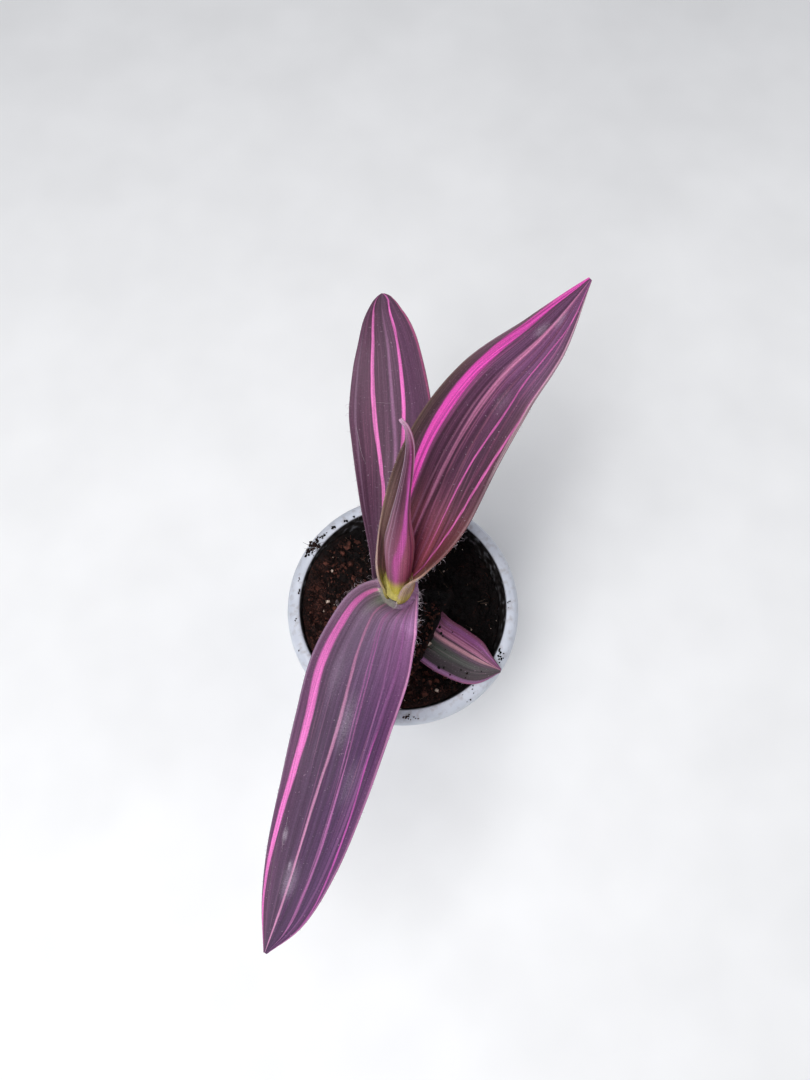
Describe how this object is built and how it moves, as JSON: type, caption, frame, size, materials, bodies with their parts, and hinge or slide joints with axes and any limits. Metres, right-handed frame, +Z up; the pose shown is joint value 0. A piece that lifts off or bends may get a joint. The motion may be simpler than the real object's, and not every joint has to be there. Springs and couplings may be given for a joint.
{
  "type": "potted tradescantia",
  "caption": "Young upright tradescantia with long striped purple leaves clasping a short stem, growing in peat in a small tapered plastic nursery pot.",
  "frame": {"origin": "middle of the pot's foot, on the surface it stands on", "axes": "+Z up the pot's axis, +Y towards the back leaf, away from the long front leaf"},
  "size_m": [0.0884, 0.1829, 0.158],
  "materials": {
    "pot_plastic": "thin moulded polypropylene, blue-grey, satin",
    "peat": "moist crumbly peat with fibres",
    "stem_skin": "fleshy purple skin, satin",
    "leaf_dull": "fleshy leaf, grey-green and violet, satin",
    "leaf_striped": "fleshy purple leaf with pink stripes, satin",
    "leaf_underside": "fleshy mauve leaf underside, satin"
  },
  "bodies": {
    "root": {"pot": "pot_plastic", "soil": "peat", "stem": "stem_skin", "leaf_low": "leaf_dull", "leaf_back": "leaf_striped", "leaf_front": "leaf_striped", "leaf_right": "leaf_striped", "leaf_young": "leaf_underside"}
  },
  "joints": []
}
